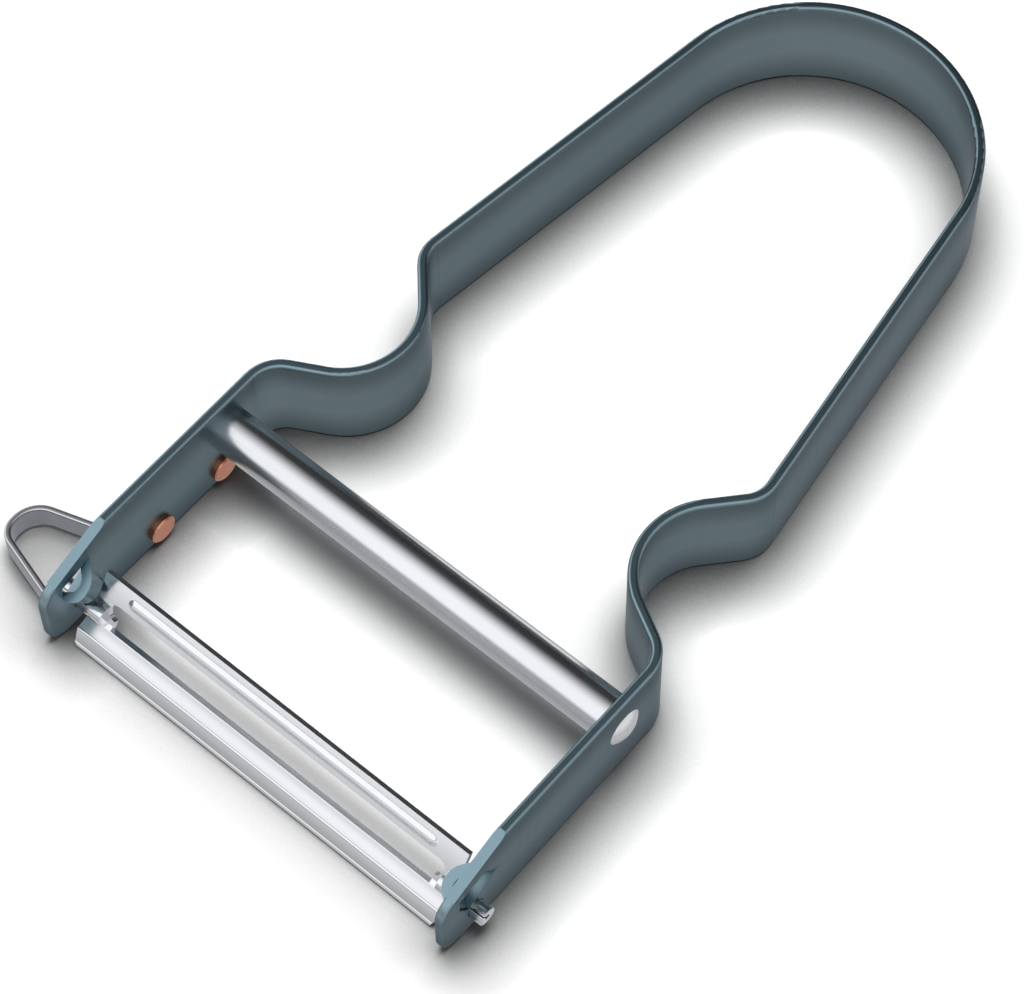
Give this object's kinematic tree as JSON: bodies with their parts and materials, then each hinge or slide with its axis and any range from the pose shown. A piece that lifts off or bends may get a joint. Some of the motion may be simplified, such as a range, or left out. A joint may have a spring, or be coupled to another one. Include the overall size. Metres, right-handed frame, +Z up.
{
  "type": "vegetable peeler",
  "caption": "Bent strip metal vegetable peeler with a swivelling slotted blade between its arms, a round crossbar and a side loop for digging out eyes.",
  "frame": {"origin": "Centre of the handle's round bow, on the plane that the peeler lies on.", "axes": "+Y from the blade towards the bow, the longest way. +Z up, across the strip's width, the shortest way. +X towards the arm without the eye remover, along the blade and its pins."},
  "size_m": [0.0661, 0.1097, 0.0126],
  "materials": {
    "anodised_strip": "satin blue-grey anodised",
    "polished_tube": "polished",
    "rivet_metal": "polished dome",
    "blade_steel": "bright rolled",
    "loop_steel": "bright rolled",
    "copper": "satin copper"
  },
  "bodies": {
    "handle": {"frame_strip": "anodised_strip", "crossbar_tube": "polished_tube", "tie_rivet": "rivet_metal", "eye_remover": "loop_steel", "rivet_front": "copper", "rivet_rear": "copper"},
    "swivel_blade": {"blade": "blade_steel"}
  },
  "joints": [
    {"name": "blade_swivel", "type": "hinge", "parent": "handle", "child": "swivel_blade", "pos_m": [0, -0.0866, 0.0032], "axis": [-1, 0, 0], "range_deg": [0, 90]}
  ]
}
